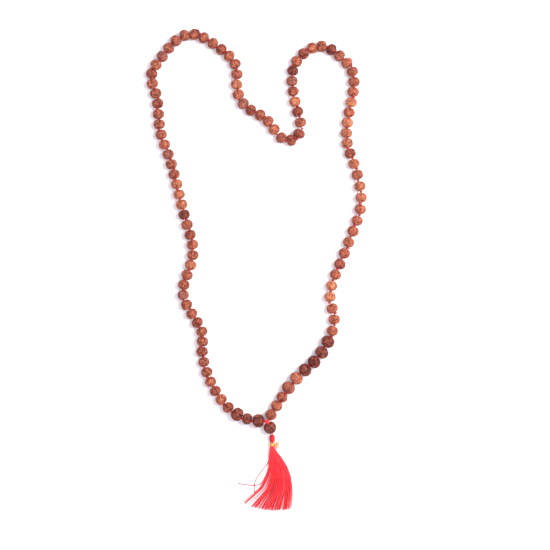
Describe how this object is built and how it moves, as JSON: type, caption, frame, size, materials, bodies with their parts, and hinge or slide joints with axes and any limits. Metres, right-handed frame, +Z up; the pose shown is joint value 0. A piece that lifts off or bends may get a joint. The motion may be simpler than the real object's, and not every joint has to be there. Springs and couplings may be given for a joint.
{
  "type": "mala prayer beads",
  "caption": "Loop of dried seed beads on a knotted red thread, closed by a head bead with a fanned red tassel tied with gold, for counting prayers.",
  "frame": {"origin": "middle of the bounding box, on the table that the beads lie on", "axes": "+Z up from the table, +Y from the tassel to the far end of the loop, +X to the right as seen from above"},
  "size_m": [0.1591, 0.3478, 0.0098],
  "materials": {
    "seed": "dry, finely pitted seed shell",
    "dark_seed": "dark, pitted seed shell",
    "thread": "twisted thread",
    "neck_thread": "wound thread",
    "skirt_thread": "loose silky thread",
    "gold": "metallic gold thread"
  },
  "bodies": {
    "run_01": {"seeds_01": "seed", "cord_01": "thread", "tie_cord": "thread"},
    "run_02": {"seeds_02": "seed", "cord_02": "thread"},
    "run_03": {"seeds_03": "seed", "cord_03": "thread"},
    "run_04": {"seeds_04": "seed", "cord_04": "thread"},
    "run_05": {"seeds_05": "seed", "cord_05": "thread"},
    "run_06": {"seeds_06": "seed", "cord_06": "thread"},
    "run_07": {"seeds_07": "seed", "cord_07": "thread"},
    "run_08": {"seeds_08": "seed", "cord_08": "thread"},
    "run_09": {"seeds_09": "seed", "cord_09": "thread"},
    "run_10": {"seeds_10": "seed", "cord_10": "thread"},
    "run_11": {"seeds_11": "seed", "cord_11": "thread"},
    "run_12": {"seeds_12": "seed", "cord_12": "thread"},
    "run_13": {"seeds_13": "seed", "cord_13": "thread"},
    "run_14": {"seeds_14": "seed", "cord_14": "thread"},
    "run_15": {"seeds_15": "seed", "cord_15": "thread"},
    "run_16": {"seeds_16": "seed", "cord_16": "thread"},
    "run_17": {"seeds_17": "seed", "cord_17": "thread"},
    "run_18": {"seeds_18": "seed", "cord_18": "thread"},
    "run_19": {"seeds_19": "seed", "cord_19": "thread"},
    "run_20": {"seeds_20": "seed", "cord_20": "thread"},
    "run_21": {"seeds_21": "seed", "cord_21": "thread"},
    "run_22": {"seeds_22": "seed", "cord_22": "thread"},
    "run_23": {"seeds_23": "seed", "cord_23": "thread"},
    "run_24": {"seeds_24": "seed", "cord_24": "thread"},
    "run_25": {"seeds_25": "seed", "cord_25": "thread"},
    "run_26": {"seeds_26": "seed", "cord_26": "thread"},
    "head": {"head_bead": "dark_seed"},
    "neck": {"neck_ball": "neck_thread"},
    "tassel": {"gold_band": "gold", "gold_bow": "gold", "skirt": "skirt_thread", "stray_1": "skirt_thread", "stray_2": "skirt_thread"}
  },
  "joints": [
    {"name": "knot_05", "type": "hinge", "parent": "run_01", "child": "run_02", "pos_m": [-0.02717, -0.09029, 0.00415], "axis": [0, 0, 1], "range_deg": [-4.79, 4.79]},
    {"name": "knot_09", "type": "hinge", "parent": "run_02", "child": "run_03", "pos_m": [-0.03831, -0.06263, 0.00415], "axis": [0, 0, 1], "range_deg": [-1.05, 1.05]},
    {"name": "knot_13", "type": "hinge", "parent": "run_03", "child": "run_04", "pos_m": [-0.04434, -0.03469, 0.00415], "axis": [0, 0, 1], "range_deg": [-1.46, 1.46]},
    {"name": "loop_lift", "type": "hinge", "parent": "run_04", "child": "run_05", "pos_m": [-0.05092, -0.00707, 0.00415], "axis": [1, -0.0021, 0], "range_deg": [0, 25]},
    {"name": "fold_21", "type": "hinge", "parent": "run_05", "child": "run_06", "pos_m": [-0.04626, 0.02182, 0.00415], "axis": [0.9998, 0.0178, 0], "range_deg": [0, 25]},
    {"name": "fold_25", "type": "hinge", "parent": "run_06", "child": "run_07", "pos_m": [-0.05431, 0.05074, 0.00415], "axis": [0.9991, 0.042, 0], "range_deg": [0, 25]},
    {"name": "left_bow", "type": "hinge", "parent": "run_07", "child": "run_08", "pos_m": [-0.06184, 0.0798, 0.00415], "axis": [0, 0, 1], "range_deg": [-10.8, 10.8]},
    {"name": "knot_33", "type": "hinge", "parent": "run_08", "child": "run_09", "pos_m": [-0.06995, 0.10852, 0.00415], "axis": [0, 0, 1], "range_deg": [-6.04, 6.04]},
    {"name": "knot_36", "type": "hinge", "parent": "run_09", "child": "run_10", "pos_m": [-0.07317, 0.13062, 0.00415], "axis": [0, 0, 1], "range_deg": [-5.17, 5.17]},
    {"name": "knot_40", "type": "hinge", "parent": "run_10", "child": "run_11", "pos_m": [-0.0651, 0.15673, 0.00415], "axis": [0, 0, 1], "range_deg": [-2.78, 2.78]},
    {"name": "knot_45", "type": "hinge", "parent": "run_11", "child": "run_12", "pos_m": [-0.03404, 0.16534, 0.00415], "axis": [0, 0, 1], "range_deg": [-9.55, 9.55]},
    {"name": "knot_50", "type": "hinge", "parent": "run_12", "child": "run_13", "pos_m": [-0.01393, 0.13732, 0.00415], "axis": [0, 0, 1], "range_deg": [-3.41, 3.41]},
    {"name": "knot_53", "type": "hinge", "parent": "run_13", "child": "run_14", "pos_m": [-0.00683, 0.11692, 0.00415], "axis": [0, 0, 1], "range_deg": [-9.88, 9.88]},
    {"name": "knot_56", "type": "hinge", "parent": "run_14", "child": "run_15", "pos_m": [0.01124, 0.10438, 0.00415], "axis": [0, 0, 1], "range_deg": [-8.94, 8.94]},
    {"name": "knot_61", "type": "hinge", "parent": "run_15", "child": "run_16", "pos_m": [0.03127, 0.11034, 0.00415], "axis": [0, 0, 1], "range_deg": [-6.76, 6.76]},
    {"name": "knot_64", "type": "hinge", "parent": "run_16", "child": "run_17", "pos_m": [0.02629, 0.13226, 0.00415], "axis": [0, 0, 1], "range_deg": [-7.52, 7.52]},
    {"name": "knot_67", "type": "hinge", "parent": "run_17", "child": "run_18", "pos_m": [0.03139, 0.15326, 0.00415], "axis": [0, 0, 1], "range_deg": [-13.5, 13.5]},
    {"name": "knot_71", "type": "hinge", "parent": "run_18", "child": "run_19", "pos_m": [0.05747, 0.15677, 0.00415], "axis": [0, 0, 1], "range_deg": [-10.7, 10.7]},
    {"name": "knot_75", "type": "hinge", "parent": "run_19", "child": "run_20", "pos_m": [0.07061, 0.13186, 0.00415], "axis": [0, 0, 1], "range_deg": [-8.72, 8.72]},
    {"name": "right_bow", "type": "hinge", "parent": "run_20", "child": "run_21", "pos_m": [0.0653, 0.10232, 0.00415], "axis": [0, 0, 1], "range_deg": [-14, 14]},
    {"name": "fold_85", "type": "hinge", "parent": "run_21", "child": "run_22", "pos_m": [0.07578, 0.0562, 0.00415], "axis": [0.9991, 0.042, 0], "range_deg": [-25, 0]},
    {"name": "fold_89", "type": "hinge", "parent": "run_22", "child": "run_23", "pos_m": [0.06841, 0.02386, 0.00415], "axis": [0.9998, 0.0178, 0], "range_deg": [-25, 0]},
    {"name": "fold_93", "type": "hinge", "parent": "run_23", "child": "run_24", "pos_m": [0.05579, -0.0073, 0.00415], "axis": [1, -0.0021, 0], "range_deg": [-25, 0]},
    {"name": "knot_97", "type": "hinge", "parent": "run_24", "child": "run_25", "pos_m": [0.05638, -0.03974, 0.00415], "axis": [0, 0, 1], "range_deg": [-4.13, 4.13]},
    {"name": "loop_sway", "type": "hinge", "parent": "run_25", "child": "run_26", "pos_m": [0.03203, -0.07472, 0.0049], "axis": [0, 0, 1], "range_deg": [-6.4, 6.4]},
    {"name": "head_spin", "type": "hinge", "parent": "run_01", "child": "head", "pos_m": [0.0103, -0.11362, 0.0046], "axis": [0.3838, -0.7868, -0.4833], "continuous": true},
    {"name": "neck_swing", "type": "hinge", "parent": "run_01", "child": "neck", "pos_m": [0.01175, -0.12051, 0.0028], "axis": [0, 0, 1], "range_deg": [-35, 35]},
    {"name": "skirt_lift", "type": "hinge", "parent": "neck", "child": "tassel", "pos_m": [0.01175, -0.12251, 0.0024], "axis": [-1, 0, 0], "range_deg": [0, 70]}
  ],
  "couplings": [
    {"joint": "knot_05", "follows": "loop_sway", "ratio": -0.73985},
    {"joint": "knot_09", "follows": "loop_sway", "ratio": 0.15623},
    {"joint": "knot_13", "follows": "loop_sway", "ratio": 0.22107},
    {"joint": "fold_21", "follows": "loop_lift", "ratio": 1},
    {"joint": "fold_25", "follows": "loop_lift", "ratio": 1},
    {"joint": "knot_33", "follows": "left_bow", "ratio": -0.55467},
    {"joint": "knot_36", "follows": "left_bow", "ratio": -0.47365},
    {"joint": "knot_40", "follows": "left_bow", "ratio": -0.25281},
    {"joint": "knot_45", "follows": "left_bow", "ratio": 0.87997},
    {"joint": "knot_50", "follows": "left_bow", "ratio": 0.31153},
    {"joint": "knot_53", "follows": "left_bow", "ratio": -0.91038},
    {"joint": "knot_56", "follows": "right_bow", "ratio": -0.63531},
    {"joint": "knot_61", "follows": "right_bow", "ratio": -0.47902},
    {"joint": "knot_64", "follows": "right_bow", "ratio": 0.53337},
    {"joint": "knot_67", "follows": "right_bow", "ratio": 0.96068},
    {"joint": "knot_71", "follows": "right_bow", "ratio": -0.76068},
    {"joint": "knot_75", "follows": "right_bow", "ratio": -0.61904},
    {"joint": "fold_85", "follows": "loop_lift", "ratio": -1},
    {"joint": "fold_89", "follows": "loop_lift", "ratio": -1},
    {"joint": "fold_93", "follows": "loop_lift", "ratio": -1},
    {"joint": "knot_97", "follows": "loop_sway", "ratio": -0.63745}
  ]
}
